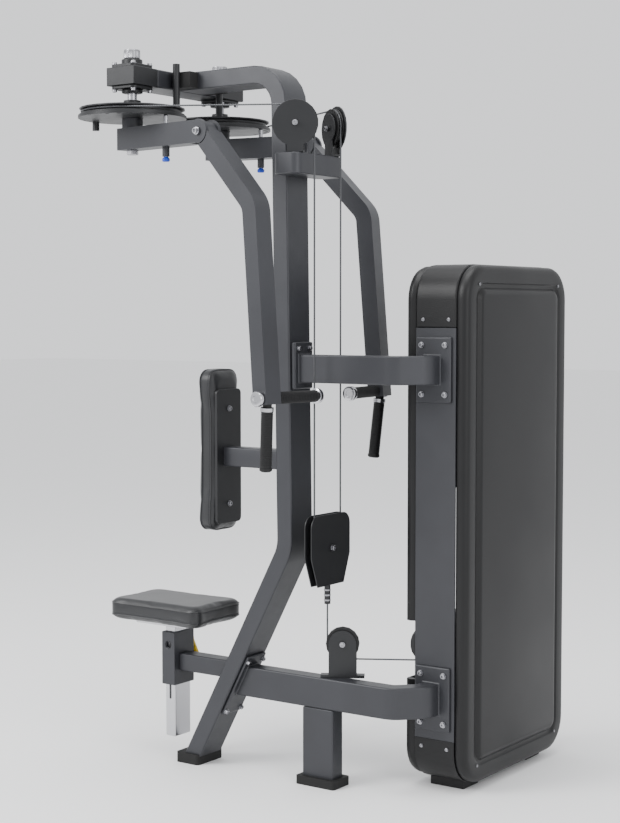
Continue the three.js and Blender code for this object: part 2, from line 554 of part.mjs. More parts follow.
function linkSolid() {
  const half = LINK.wide / 2;
  const z0 = LINK.z - LINK.tall / 2;
  const z1 = LINK.z + LINK.tall / 2;
  const inner = half - LINK.cheek;
  const ear = union(
    block(-half, half, -34, LINK.length, z0, z1),
    rod('x', LINK.ear, -half, half, LINK.length, LINK.z, 28),
    rod('z', HOUSING.boss, z1 - 1, DISC.z0 - GAP, 0, 0),
    rod('z', 10, z0 - 26, z0 + 1, 0, LINK.pinAlong, 16),
  );
  return union(
    cut(
      ear,
      block(-inner, inner, LINK.length - 38, LINK.length + 60, z0 - 10, z1 + 10),
      rod('z', SHAFT.radius + 0.4, z0 - 5, DISC.z0, 0, 0),
      rod('z', POP_PIN.bore, z0 - 30, z1 + 5, 0, LINK.pinAlong, 10),
    ),
    rod('x', LINK.hinge, -half - 4, half + 4, LINK.length, LINK.z, 16),
  );
}

function armSolid() {
  const half = ARM.wide / 2;
  const tongue = LINK.wide / 2 - LINK.cheek - 0.5;
  const path = [[LINK.length, LINK.z], [ARM.bendAlong, ARM.bendZ, 60], [ARM.endAlong, ARM.endZ]];
  const shape = ribbon(path, ARM.deep);
  const tube = prism(shape, 'yz', -half, half).subtract(
    rod('x', LINK.ear + 3, -half - 1, half + 1, LINK.length, LINK.z, 28),
  );
  const neck = prism(ribbon([path[0], [LINK.length + 60, LINK.z - 64]], ARM.deep), 'yz', -tongue, tongue);
  return cut(
    union(tube, neck, rod('x', 26, -tongue, tongue, LINK.length, LINK.z, 24)),
    rod('x', LINK.hinge + 0.4, -60, 60, LINK.length, LINK.z, 16),
    rod('x', HANDLE.rod + GAP, -60, 60, ARM.endAlong - 2, HANDLE.z, 16),
  );
}

function swingArm({ name, sign }) {
  const group = groupAt(sign * PIVOT.x, PIVOT.y, 0, -sign * PIVOT.angle);
  add(`link_${name}`, linkSolid(), framePaint, group);
  add(`pop_pin_${name}`, union(
    rod('z', POP_PIN.radius, LINK.z - 61, DISC.z0 - 0.5, 0, LINK.pinAlong, 10),
    rod('z', POP_PIN.knob, LINK.z - POP_PIN.knobLow, LINK.z - POP_PIN.knobTop, 0, LINK.pinAlong, 16),
    rod('z', POP_PIN.neck, LINK.z - 61, LINK.z - 56.5, 0, LINK.pinAlong, 16),
  ), bluePlastic, group);
  add(`arm_${name}`, armSolid(), framePaint, group);
  const inward = (from, to) => (sign > 0 ? [-to, -from] : [from, to]);
  const y = ARM.endAlong - 2;
  const face = ARM.wide / 2;
  add(`cross_handle_${name}`, union(
    rod('x', HANDLE.rod, ...inward(-face - 6, HANDLE.reach), y, HANDLE.z),
    rod('x', HANDLE.outerCap, ...inward(-face - HANDLE.cap, -face - GAP), y, HANDLE.z, 24),
    rod('x', HANDLE.radius, ...inward(face + GAP, HANDLE.reach), y, HANDLE.z),
    rod('x', HANDLE.innerCap, ...inward(HANDLE.reach - 1, HANDLE.reach + 13), y, HANDLE.z, 20),
  ), rubber, group);
  const grip = new THREE.Group();
  grip.position.set(0, ARM.endAlong, ARM.endZ - GAP);
  grip.rotation.set(-THREE.MathUtils.degToRad(GRIP.tilt), sign * THREE.MathUtils.degToRad(GRIP.splay), 0);
  group.add(grip);
  add(`down_grip_${name}`, union(
    rod('z', GRIP.collar, -16, -3, 0, 0, 24),
    rod('z', GRIP.radius, -GRIP.length, -15, 0, 0, 24),
  ), rubber, grip);
}

sides.forEach(pivotHousing);
sides.forEach(stopBuffer);
sides.forEach(selectorDisc);
sides.forEach(swingArm);

// ---------------------------------------------------------------- cables
// A route whose corners are exactly its listed points.
class Route extends THREE.Curve {
  constructor(points) {
    super();
    this.points = points;
  }

  getUtoTmapping(u) {
    return u;
  }

  getPoint(t, target = new THREE.Vector3()) {
    const place = Math.min(Math.max(t, 0), 1) * (this.points.length - 1);
    const index = Math.min(Math.floor(place), this.points.length - 2);
    return target.lerpVectors(this.points[index], this.points[index + 1], place - index);
  }
}

// Points round a wheel, from one angle to another, measured from `right` towards `up`.
function wrap(centre, right, up, radius, from, to, step = 15) {
  const count = Math.round(Math.abs(to - from) / step);
  return Array.from({ length: count + 1 }, (_, i) => {
    const angle = THREE.MathUtils.degToRad(from + ((to - from) * i) / count);
    return centre.clone()
      .addScaledVector(right, radius * Math.cos(angle))
      .addScaledVector(up, radius * Math.sin(angle));
  });
}

function cable(points) {
  const path = new Route(points);
  const shape = new THREE.Shape();
  shape.absarc(0, 0, CABLE.radius, 0, 2 * Math.PI);
  const geometry = new THREE.ExtrudeGeometry(shape, {
    steps: points.length - 1, curveSegments: 4, bevelEnabled: false, extrudePath: path,
  });
  return toSolid(geometry);
}

function armCableHalf(sign) {
  const heading = new THREE.Vector3(-sign * Math.sin(toe), Math.cos(toe), 0);
  const cam = new THREE.Vector3(sign * PIVOT.x, PIVOT.y, CAM.cableZ);
  const pulley = new THREE.Vector3(sign * TOP_PULLEY.strandX, TOP_PULLEY.strandY, TOP_PULLEY.z)
    .addScaledVector(heading, -PULLEY.groove);
  const toeDegrees = THREE.MathUtils.radToDeg(toe);
  return [
    ...wrap(cam, across.clone().multiplyScalar(sign), ahead, CAM.radius, toeDegrees - 45, toeDegrees),
    ...wrap(pulley, heading, up, PULLEY.groove, 90, 0),
  ];
}

function armCableRoute() {
  const blockCentre = new THREE.Vector3(0, TOP_PULLEY.strandY, BLOCK.z);
  const underBlock = wrap(blockCentre, across, up, BLOCK.groove, 0, -180);
  return [...armCableHalf(1), ...underBlock, ...armCableHalf(-1).reverse()];
}

function stackCableRoute() {
  const cableTop = new THREE.Vector3(0, TOP_PULLEY.strandY, BLOCK.z - 150);
  const stem = new THREE.Vector3(towerX, towerY, liftTop + STACK.stem + GAP);
  const [near, far] = headCentres.map((x) => new THREE.Vector3(x, towerY, headZ));
  return [
    cableTop,
    ...wrap(sheaveCentre, runway, up, BASE_SHEAVE.groove, 180, 270),
    ...wrap(lowCentre, runway, up, LOW_SHEAVE.groove, 270, 360),
    ...wrap(near, across, up, LOW_SHEAVE.groove, 0, 90),
    ...wrap(far, across, up, LOW_SHEAVE.groove, 90, 180),
    stem,
  ];
}

add('arm_cable', cable(armCableRoute()), steel);
add('stack_cable', cable(stackCableRoute()), steel);

// The machine stands on z = 0 with its origin under the middle of its outer box.
const outer = new THREE.Box3().setFromObject(machine);
machine.position.set(-(outer.min.x + outer.max.x) / 2, -(outer.min.y + outer.max.y) / 2, -outer.min.z);

export default machine;
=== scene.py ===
import json
import math

import bmesh
import bpy
import numpy as np
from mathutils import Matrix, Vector
from mathutils.bvhtree import BVHTree

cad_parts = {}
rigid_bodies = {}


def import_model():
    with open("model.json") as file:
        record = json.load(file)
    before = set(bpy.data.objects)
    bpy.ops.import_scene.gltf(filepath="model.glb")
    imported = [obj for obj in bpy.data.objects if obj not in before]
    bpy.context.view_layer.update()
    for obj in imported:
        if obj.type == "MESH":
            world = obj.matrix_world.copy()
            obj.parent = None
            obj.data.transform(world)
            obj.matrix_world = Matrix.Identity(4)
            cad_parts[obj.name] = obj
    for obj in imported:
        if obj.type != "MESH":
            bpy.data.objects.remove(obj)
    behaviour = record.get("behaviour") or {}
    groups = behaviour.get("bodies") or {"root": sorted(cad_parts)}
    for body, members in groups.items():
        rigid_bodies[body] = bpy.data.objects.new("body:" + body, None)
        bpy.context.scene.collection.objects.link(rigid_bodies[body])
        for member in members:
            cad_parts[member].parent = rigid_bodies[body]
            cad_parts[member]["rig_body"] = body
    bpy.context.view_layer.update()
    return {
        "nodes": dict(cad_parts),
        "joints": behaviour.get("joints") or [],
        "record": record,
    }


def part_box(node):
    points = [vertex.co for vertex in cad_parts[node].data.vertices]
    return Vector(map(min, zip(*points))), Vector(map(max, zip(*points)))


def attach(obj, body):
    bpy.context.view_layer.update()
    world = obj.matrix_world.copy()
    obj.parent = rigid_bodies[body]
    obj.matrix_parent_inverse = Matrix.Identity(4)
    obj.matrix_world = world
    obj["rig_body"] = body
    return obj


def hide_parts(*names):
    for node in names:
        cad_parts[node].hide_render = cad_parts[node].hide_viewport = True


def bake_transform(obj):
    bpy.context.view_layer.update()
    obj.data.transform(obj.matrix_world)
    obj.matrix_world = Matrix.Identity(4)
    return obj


bl_info = {
    "name": "Pec Deck Machine",
    "version": (1, 0, 0),
    "blender": (4, 5, 0),
    "location": "View3D > Sidebar > Pec Deck",
    "description": "Builds the finished surfaces of a pec deck machine around its frame",
    "category": "Object",
}

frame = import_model()
NODES = frame["nodes"]
JOINTS = {joint["name"]: joint for joint in frame["joints"]}
SIDES = (("left", 1.0), ("right", -1.0))
EAST = Vector((1, 0, 0))
NORTH = Vector((0, 1, 0))
UP = Vector((0, 0, 1))

# Sizes in metres that several pieces share.
ARM_HALF = 0.0275            # half the width of an arm tube
CABLE_RADIUS = 0.0024
CAM_RADIUS = 1.0 / 7.142857  # the disc turns this many radians for each metre of cable
TOP_GROOVE = 0.050
BLOCK_GROOVE = 0.062
BASE_GROOVE = 0.042
TOWER_GROOVE = 0.045
TOWER_CORNER = 0.095
PANEL_INSET = 0.004          # how far the tower's panels stand inside its outline
GRIP_ROOT = 0.0146           # radius between the ribs of a grip
GRIP_CREST = 0.0160          # radius of the ribs
SEAM_INSET = 0.009           # from a pad's face to its piping
STITCH_OFFSET = 0.008        # from the piping to the stitches
STITCH_PITCH = 0.007


# ---------------------------------------------------------------- materials
def shader(name, color, roughness, metallic=0.0, specular=0.5, coat=0.0):
    """A material with one Principled shader, its constants set on the shader's own sockets."""
    material = bpy.data.materials.new(name)
    material.use_nodes = True
    principled = material.node_tree.nodes["Principled BSDF"]
    principled.inputs["Base Color"].default_value = (*color, 1)
    principled.inputs["Roughness"].default_value = roughness
    principled.inputs["Metallic"].default_value = metallic
    principled.inputs["Specular IOR Level"].default_value = specular
    principled.inputs["Coat Weight"].default_value = coat
    return material, material.node_tree, principled


def object_texture(tree, kind, scale, **inputs):
    """A texture on Object coordinates, its other inputs set by name."""
    place = tree.nodes.new("ShaderNodeTexCoord")
    texture = tree.nodes.new(kind)
    tree.links.new(place.outputs["Object"], texture.inputs["Vector"])
    texture.inputs["Scale"].default_value = scale
    for label, value in inputs.items():
        texture.inputs[label].default_value = value
    return texture


def spread(tree, source, low, high, target):
    """Maps a 0 to 1 value to a range and links it to a socket."""
    ramp = tree.nodes.new("ShaderNodeMapRange")
    ramp.inputs["To Min"].default_value = low
    ramp.inputs["To Max"].default_value = high
    tree.links.new(source, ramp.inputs["Value"])
    tree.links.new(ramp.outputs["Result"], target)


def two_tone(tree, source, dark, light, target):
    """Colours a 0 to 1 value between two tones and links it to a socket."""
    ramp = tree.nodes.new("ShaderNodeValToRGB")
    ramp.color_ramp.elements[0].position = 0.35
    ramp.color_ramp.elements[0].color = (*dark, 1)
    ramp.color_ramp.elements[1].position = 0.65
    ramp.color_ramp.elements[1].color = (*light, 1)
    tree.links.new(source, ramp.inputs["Fac"])
    tree.links.new(ramp.outputs["Color"], target)


def relief(tree, principled, height, strength, distance):
    bump = tree.nodes.new("ShaderNodeBump")
    bump.inputs["Strength"].default_value = strength
    bump.inputs["Distance"].default_value = distance
    tree.links.new(height, bump.inputs["Height"])
    tree.links.new(bump.outputs["Normal"], principled.inputs["Normal"])


def tint(color, factor):
    return tuple(channel * factor for channel in color)


def powder_coat(name, color):
    material, tree, principled = shader(name, color, 0.42, 0.25)
    patches = object_texture(tree, "ShaderNodeTexNoise", 6.0, Detail=4.0)
    base_color = principled.inputs["Base Color"]
    two_tone(tree, patches.outputs["Fac"], tint(color, 0.92), tint(color, 1.08), base_color)
    scuffs = object_texture(tree, "ShaderNodeTexNoise", 22.0, Detail=6.0, Roughness=0.7)
    spread(tree, scuffs.outputs["Fac"], 0.34, 0.52, principled.inputs["Roughness"])
    orange_peel = object_texture(tree, "ShaderNodeTexNoise", 900.0, Detail=2.0)
    relief(tree, principled, orange_peel.outputs["Fac"], 0.25, 0.0003)
    return material


def grained_plastic(name, color, roughness, grain_scale, depth):
    material, tree, principled = shader(name, color, roughness, specular=0.32)
    grain = object_texture(tree, "ShaderNodeTexVoronoi", grain_scale)
    grain.feature = "SMOOTH_F1"
    relief(tree, principled, grain.outputs["Distance"], 0.5, depth)
    handling = object_texture(tree, "ShaderNodeTexNoise", 5.0, Detail=5.0)
    spread(tree, handling.outputs["Fac"], roughness - 0.07, roughness + 0.12, principled.inputs["Roughness"])
    base_color = principled.inputs["Base Color"]
    two_tone(tree, handling.outputs["Fac"], tint(color, 0.85), tint(color, 1.2), base_color)
    return material


def upholstery(name, color):
    material, tree, principled = shader(name, color, 0.42)
    principled.inputs["Sheen Weight"].default_value = 0.15
    principled.inputs["Sheen Roughness"].default_value = 0.4
    pores = object_texture(tree, "ShaderNodeTexVoronoi", 620.0)
    pores.feature = "DISTANCE_TO_EDGE"
    relief(tree, principled, pores.outputs["Distance"], 0.35, 0.0004)
    creases = object_texture(tree, "ShaderNodeTexNoise", 11.0, Detail=6.0, Roughness=0.62)
    spread(tree, creases.outputs["Fac"], 0.34, 0.5, principled.inputs["Roughness"])
    base_color = principled.inputs["Base Color"]
    two_tone(tree, creases.outputs["Fac"], tint(color, 0.85), tint(color, 1.25), base_color)
    return material


def bare_metal(name, color, roughness, brush_scale):
    material, tree, principled = shader(name, color, roughness, 1.0)
    brush = object_texture(tree, "ShaderNodeTexNoise", brush_scale, Detail=3.0, Distortion=0.4)
    spread(tree, brush.outputs["Fac"], roughness * 0.75, roughness * 1.35, principled.inputs["Roughness"])
    relief(tree, principled, brush.outputs["Fac"], 0.08, 0.0002)
    return material


def wire_rope(name, color):
    material, tree, principled = shader(name, color, 0.38, 0.7)
    strands = object_texture(tree, "ShaderNodeTexWave", 260.0, Distortion=1.5)
    strands.bands_direction = "DIAGONAL"
    relief(tree, principled, strands.outputs["Fac"], 0.6, 0.0004)
    # Painted shade and highlight: the grooves between the strands are coloured darker and the crests lighter,
    # on the same bands as the bump.
    two_tone(tree, strands.outputs["Fac"], tint(color, 0.6), tint(color, 1.3), principled.inputs["Base Color"])
    return material


FRAME_PAINT = powder_coat("FramePowderCoat", (0.030, 0.031, 0.036))
DARK_PAINT = powder_coat("DarkPowderCoat", (0.013, 0.0135, 0.015))
SHROUD = grained_plastic("ShroudPlastic", (0.0045, 0.0045, 0.005), 0.40, 420.0, 0.0005)
NYLON = grained_plastic("PulleyNylon", (0.006, 0.006, 0.0065), 0.34, 300.0, 0.0002)
RUBBER = grained_plastic("MouldedRubber", (0.010, 0.010, 0.010), 0.72, 520.0, 0.0004)
GRIP_RUBBER = grained_plastic("GripRubber", (0.009, 0.009, 0.0095), 0.58, 700.0, 0.0004)
BLUE = grained_plastic("BlueKnobPlastic", (0.012, 0.052, 0.42), 0.35, 500.0, 0.0002)
YELLOW = grained_plastic("YellowPlastic", (0.78, 0.52, 0.02), 0.38, 500.0, 0.0002)
VINYL = upholstery("BlackVinyl", (0.008, 0.0085, 0.010))
THREAD = grained_plastic("SeamThread", (0.035, 0.036, 0.040), 0.7, 900.0, 0.0001)
STEEL = bare_metal("TurnedSteel", (0.36, 0.36, 0.38), 0.28, 260.0)
CHROME = bare_metal("PolishedChrome", (0.50, 0.50, 0.52), 0.16, 60.0)
CAST_IRON = powder_coat("PaintedIron", (0.024, 0.024, 0.027))
CABLE = wire_rope("CoatedWireRope", (0.085, 0.087, 0.092))

SLOT_FINISH = {
    "frame_paint": FRAME_PAINT, "dark_paint": DARK_PAINT, "shroud": SHROUD, "pulley_nylon": NYLON,
    "vinyl": VINYL, "rubber": RUBBER, "grip_rubber": GRIP_RUBBER, "steel": STEEL, "cable": CABLE,
    "chrome": CHROME, "black_steel": DARK_PAINT, "blue_plastic": BLUE, "yellow_plastic": YELLOW,
    "cast_iron": CAST_IRON,
}
NODE_SLOT = {entry["node"]: entry["material_slot"] for entry in frame["record"]["subparts"]}
REBUILT = {
    "back_pad", "seat_pad", "arm_cable", "stack_cable", "rear_shroud", "pad_support",
    *(f"{kind}_{side}" for kind in ("cross_handle", "down_grip", "pop_pin") for side, _ in SIDES),
}


# ---------------------------------------------------------------- mesh helpers
def link_mesh(name, mesh, material):
    piece = bpy.data.objects.new(name, mesh)
    bpy.context.scene.collection.objects.link(piece)
    mesh.materials.clear()
    mesh.materials.append(material)
    return piece


def settle(piece):
    """Applies every modifier and leaves a plain mesh."""
    graph = bpy.context.evaluated_depsgraph_get()
    mesh = bpy.data.meshes.new_from_object(piece.evaluated_get(graph))
    piece.modifiers.clear()
    piece.data = mesh
    return piece


def soften(piece, sharp_degrees=32.0):
    """Shades a piece smooth, with edges over an angle kept sharp."""
    limit = math.radians(sharp_degrees)
    work = bmesh.new()
    work.from_mesh(piece.data)
    for face in work.faces:
        face.smooth = True
    for edge in work.edges:
        edge.smooth = edge.is_manifold and edge.calc_face_angle(0.0) < limit
    work.to_mesh(piece.data)
    work.free()


def round_edges(piece, width):
    """Bevels the sharp edges and keeps the flats flat."""
    bevel = piece.modifiers.new("RoundedEdges", "BEVEL")
    bevel.limit_method = "ANGLE"
    bevel.angle_limit = math.radians(34)
    bevel.width = width
    bevel.segments = 2
    flat = piece.modifiers.new("FlatFaces", "WEIGHTED_NORMAL")
    flat.keep_sharp = True
    soften(piece)
    return settle(piece)


def finish(piece, body, slot, *replaced):
    """Puts a piece on its body, in place of the CAD nodes it stands for. The slot argument is not used."""
    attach(piece, body)
    if replaced:
        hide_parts(*replaced)
    return piece


def ring_stack(name, rings, material, centre=Vector(), axis=UP, sides=48):
    """A closed solid through rings, each a (radius, height) along the axis or a list of points."""
    turn = UP.rotation_difference(axis).to_matrix()
    work = bmesh.new()
    rows = []
    for ring in rings:
        if isinstance(ring, tuple):
            radius, height = ring
            steps = [2 * math.pi * i / sides for i in range(sides)]
            points = [(radius * math.cos(a), radius * math.sin(a), height) for a in steps]
        else:
            points = ring
        rows.append([work.verts.new(turn @ Vector(point) + centre) for point in points])
    for low, high in zip(rows, rows[1:]):
        count = len(low)
        for i in range(count):
            work.faces.new((low[i], low[(i + 1) % count], high[(i + 1) % count], high[i]))
    work.faces.new(list(reversed(rows[0])))
    work.faces.new(rows[-1])
    bmesh.ops.recalc_face_normals(work, faces=work.faces)
    mesh = bpy.data.meshes.new(name)
    work.to_mesh(mesh)
    work.free()
    piece = link_mesh(name, mesh, material)
    soften(piece)
    return piece


def tube(name, points, radius, material, closed=False, sides=10):
    """A round bar through points."""
    curve = bpy.data.curves.new(name, "CURVE")
    curve.dimensions = "3D"
    curve.bevel_depth = radius
    curve.bevel_resolution = max(1, sides // 4 - 1)
    curve.use_fill_caps = not closed
    spline = curve.splines.new("POLY")
    spline.points.add(len(points) - 1)
    for spot, point in zip(spline.points, points):
        spot.co = (*point, 1)
    spline.use_cyclic_u = closed
    holder = bpy.data.objects.new(name, curve)
    bpy.context.scene.collection.objects.link(holder)
    graph = bpy.context.evaluated_depsgraph_get()
    mesh = bpy.data.meshes.new_from_object(holder.evaluated_get(graph))
    bpy.data.objects.remove(holder)
    work = bmesh.new()
    work.from_mesh(mesh)
    bmesh.ops.remove_doubles(work, verts=work.verts, dist=1e-6)
    bmesh.ops.recalc_face_normals(work, faces=work.faces)
    work.to_mesh(mesh)
    work.free()
    piece = link_mesh(name, mesh, material)
    soften(piece, 50)
    return piece


def slab_mesh(name, low, high, thick_axis, corner, steps=8):
    """A rounded-rectangle slab: rounded seen along thick_axis."""
    u, v = (axis for axis in range(3) if axis != thick_axis)
    outline = []
    for (su, sv), start in (((1, 1), 0), ((-1, 1), 90), ((-1, -1), 180), ((1, -1), 270)):
        cu = (high[u] - corner) if su > 0 else (low[u] + corner)
        cv = (high[v] - corner) if sv > 0 else (low[v] + corner)
        for step in range(steps + 1):
            angle = math.radians(start + 90 * step / steps)
            outline.append((cu + corner * math.cos(angle), cv + corner * math.sin(angle)))
    work = bmesh.new()
    rows = []
    for level in (low[thick_axis], high[thick_axis]):
        row = []
        for pu, pv in outline:
            point = [0.0, 0.0, 0.0]
            point[u], point[v], point[thick_axis] = pu, pv, level
            row.append(work.verts.new(point))
        rows.append(row)
    count = len(outline)
    for i in range(count):
        work.faces.new((rows[0][i], rows[0][(i + 1) % count], rows[1][(i + 1) % count], rows[1][i]))
    work.faces.new(list(reversed(rows[0])))
    work.faces.new(rows[1])
    bmesh.ops.recalc_face_normals(work, faces=work.faces)
    mesh = bpy.data.meshes.new(name)
    work.to_mesh(mesh)
    work.free()
    return mesh


def axis_of(node):
    """Centre, direction and half length of a long round CAD node."""
    points = np.array([vertex.co for vertex in NODES[node].data.vertices], float)
    points = np.unique(points.round(6), axis=0)
    middle = points.mean(0)
    direction = np.linalg.svd(points - middle, full_matrices=False)[2][0]
    along = (points - middle) @ direction
    centre = middle + direction * (along.max() + along.min()) / 2
    return Vector(centre), Vector(direction), (along.max() - along.min()) / 2


# ---------------------------------------------------------------- scattered fittings
def fitting_tree():
    """Geometry nodes that set a fitting on every point, turned to the point's facing."""
    tree = bpy.data.node_groups.new("ScatterFittings", "GeometryNodeTree")
    inputs = (("Points", "Geometry"), ("Fitting", "Object"), ("Finish", "Material"), ("Size", "Float"))
    for label, kind in inputs:
        tree.interface.new_socket(label, in_out="INPUT", socket_type=f"NodeSocket{kind}")
    tree.interface.new_socket("Geometry", in_out="OUTPUT", socket_type="NodeSocketGeometry")
    make = tree.nodes.new
    given, made = make("NodeGroupInput"), make("NodeGroupOutput")
    fitting, facing = make("GeometryNodeObjectInfo"), make("GeometryNodeInputNamedAttribute")
    facing.data_type = "FLOAT_VECTOR"
    facing.inputs["Name"].default_value = "facing"
    align = make("FunctionNodeAlignRotationToVector")
    align.axis = "Z"
    instance, realize = make("GeometryNodeInstanceOnPoints"), make("GeometryNodeRealizeInstances")
    dress = make("GeometryNodeSetMaterial")
    for source, target in (
        (given.outputs["Points"], instance.inputs["Points"]),
        (given.outputs["Fitting"], fitting.inputs["Object"]),
        (fitting.outputs["Geometry"], instance.inputs["Instance"]),
        (facing.outputs["Attribute"], align.inputs["Vector"]),
        (align.outputs["Rotation"], instance.inputs["Rotation"]),
        (given.outputs["Size"], instance.inputs["Scale"]),
        (instance.outputs["Instances"], realize.inputs["Geometry"]),
        (realize.outputs["Geometry"], dress.inputs["Geometry"]),
        (given.outputs["Finish"], dress.inputs["Material"]),
        (dress.outputs["Geometry"], made.inputs["Geometry"]),
    ):
        tree.links.new(source, target)
    return tree


def scatter(name, spots, fitting, material, body, slot, size=1.0):
    """One mesh of fittings, from a list of (point, facing)."""
    mesh = bpy.data.meshes.new(name)
    mesh.from_pydata([tuple(point) for point, _ in spots], [], [])
    facing = mesh.attributes.new("facing", "FLOAT_VECTOR", "POINT")
    for entry, (_, direction) in zip(facing.data, spots):
        entry.vector = direction
    piece = link_mesh(name, mesh, material)
    tree = bpy.data.node_groups.get("ScatterFittings") or fitting_tree()
    modifier = piece.modifiers.new("Fittings", "NODES")
    modifier.node_group = tree
    sockets = {item.name: item.identifier for item in tree.interface.items_tree
               if item.in_out == "INPUT"}
    modifier[sockets["Fitting"]] = fitting
    modifier[sockets["Finish"]] = material
    modifier[sockets["Size"]] = size
    settle(piece)
    return finish(piece, body, slot)


def hexagon(radius, height):
    """Points round a hexagon, its corners and the middles of its sides."""
    points = []
    for i in range(12):
        angle = 2 * math.pi * i / 12
        reach = radius if i % 2 == 0 else radius * math.cos(math.pi / 6)
        points.append((reach * math.cos(angle), reach * math.sin(angle), height))
    return points


def socket_bolt():
    """A washer and a socket head with a hexagonal recess."""
    rings = [
        (0.0085, 0.0), (0.0085, 0.0014), (0.0064, 0.0014), (0.0064, 0.0062), (0.0057, 0.0070),
        hexagon(0.0036, 0.0070), hexagon(0.0036, 0.0030),
    ]
    return ring_stack("SocketBoltTemplate", rings, STEEL, sides=12)


def stitch():
    """One stitch, along its own Z."""
    rings = [(0.0003, -0.0026), (0.0007, -0.0018), (0.0008, 0.0), (0.0007, 0.0018), (0.0003, 0.0026)]
    return ring_stack("StitchTemplate", rings, THREAD, sides=6)


def drop_template(template):
    """Removes a fitting that has been copied to its places."""
    mesh = template.data
    bpy.data.objects.remove(template)
    bpy.data.meshes.remove(mesh)


# ---------------------------------------------------------------- pieces
def refine(node, bevel):
    """A copy of a CAD node with rounded edges and an even surface."""
    source = NODES[node]
    work = bmesh.new()
    work.from_mesh(source.data)
    bmesh.ops.remove_doubles(work, verts=work.verts, dist=2e-5)
    bmesh.ops.dissolve_limit(work, angle_limit=math.radians(0.8), verts=work.verts, edges=work.edges)
    mesh = bpy.data.meshes.new(f"fine_{node}")
    work.to_mesh(mesh)
    work.free()
    piece = link_mesh(f"fine_{node}", mesh, SLOT_FINISH[NODE_SLOT[node]])
    round_edges(piece, bevel)
    finish(piece, source["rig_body"], NODE_SLOT[node], node)


def nearest_ring(surface, points, lift):
    """The points of a loop moved on to a surface, with the surface's normals."""
    ring = []
    for point in points:
        spot, normal, _, _ = surface.find_nearest(point)
        ring.append((spot + normal * lift, normal))
    return ring


def inflate(piece, low, high, rise):
    """Fills the cover with air by cloth simulation, and caps how far it may swell."""
    rest = [vertex.co.copy() for vertex in piece.data.vertices]
    cloth = piece.modifiers.new("Cover", "CLOTH")
    cloth.settings.quality = 5
    cloth.settings.use_pressure = True
    cloth.settings.uniform_pressure_force = 4.0
    cloth.settings.effector_weights.gravity = 0.0
    cloth.settings.tension_stiffness = 25.0
    cloth.settings.bending_stiffness = 2.0
    cloth.point_cache.frame_start = 1
    cloth.point_cache.frame_end = 20
    for step in range(1, 21):
        bpy.context.scene.frame_set(step)
    settle(piece)
    bpy.context.scene.frame_set(1)
    for vertex, start in zip(piece.data.vertices, rest):
        move = vertex.co - start
        if move.length > rise:
            vertex.co = start + move.normalized() * rise
        for axis in range(3):
            vertex.co[axis] = min(max(vertex.co[axis], low[axis]), high[axis])


def cushion(node, thick_axis, corner, shrink, rise):
    """A crowned pad with rounded edges, inside the box of its CAD solid."""
    low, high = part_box(node)
    inset = Vector.Fill(3, shrink)
    mesh = slab_mesh(f"cushion_{node}", low + inset, high - inset, thick_axis, corner)
    piece = link_mesh(f"cushion_{node}", mesh, VINYL)
    bevel = piece.modifiers.new("Edge", "BEVEL")
    bevel.width = 0.012
    bevel.segments = 4
    bevel.limit_method = "ANGLE"
    remesh = piece.modifiers.new("Even", "REMESH")
    remesh.mode = "VOXEL"
    remesh.voxel_size = 0.0055
    settle(piece)
    inflate(piece, low, high, rise)
    crown = piece.modifiers.new("Smooth", "SMOOTH")
    crown.iterations = 6
    crown.factor = 0.5
    subdivide = piece.modifiers.new("Fine", "SUBSURF")
    subdivide.levels = 1
    subdivide.render_levels = 1
    settle(piece)
    soften(piece, 180)
    return piece


def seam_guide(node, thick_axis, corner, level):
    """Evenly spaced points round a pad's outline at one level."""
    low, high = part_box(node)
    mesh = slab_mesh("SeamGuide", low, high, thick_axis, corner, 10)
    outline = [vertex.co.copy() for vertex in list(mesh.vertices)[:len(mesh.vertices) // 2]]
    bpy.data.meshes.remove(mesh)
    for point in outline:
        point[thick_axis] = level
    points = []
    for start, end in zip(outline, outline[1:] + outline[:1]):
        steps = max(1, int((end - start).length / STITCH_PITCH))
        points += [start.lerp(end, step / steps) for step in range(steps)]
    return points


def seam_loops(piece, node, thick_axis, corner, body):
    """Piping round both edges of a pad, with a row of stitches beside each."""
    low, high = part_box(node)
    surface = BVHTree.FromObject(piece, bpy.context.evaluated_depsgraph_get())
    template = stitch()
    edges = (("front", low[thick_axis] + SEAM_INSET, 1), ("back", high[thick_axis] - SEAM_INSET, -1))
    for label, level, inward in edges:
        dense = seam_guide(node, thick_axis, corner, level)
        points = [point for point, _ in nearest_ring(surface, dense, 0.0006)]
        piping = tube(f"piping_{node}_{label}", points, 0.0021, VINYL, closed=True, sides=8)
        finish(piping, body, "vinyl")
        shift = Vector((0, 0, 0))
        shift[thick_axis] = inward * STITCH_OFFSET
        shifted = [point + shift for point in dense]
        beside = nearest_ring(surface, shifted, 0.0003)
        spots = []
        for index, (point, _) in enumerate(beside):
            ahead = beside[(index + 1) % len(beside)][0]
            spots.append((point, (ahead - point).normalized()))
        scatter(f"stitches_{node}_{label}", spots, template, THREAD, body, "vinyl")
    drop_template(template)


def rib_rings(start, end, count, share, offset=0.0):
    """Rings of evenly spaced ribs between two heights."""
    rings = []
    for i in range(count):
        low = start + (end - start) * i / count
        high = start + (end - start) * (i + share) / count
        rings += [(GRIP_ROOT + offset, low), (GRIP_CREST, low + 0.0006),
                  (GRIP_CREST, high), (GRIP_ROOT + offset, high + 0.0006)]
    return rings


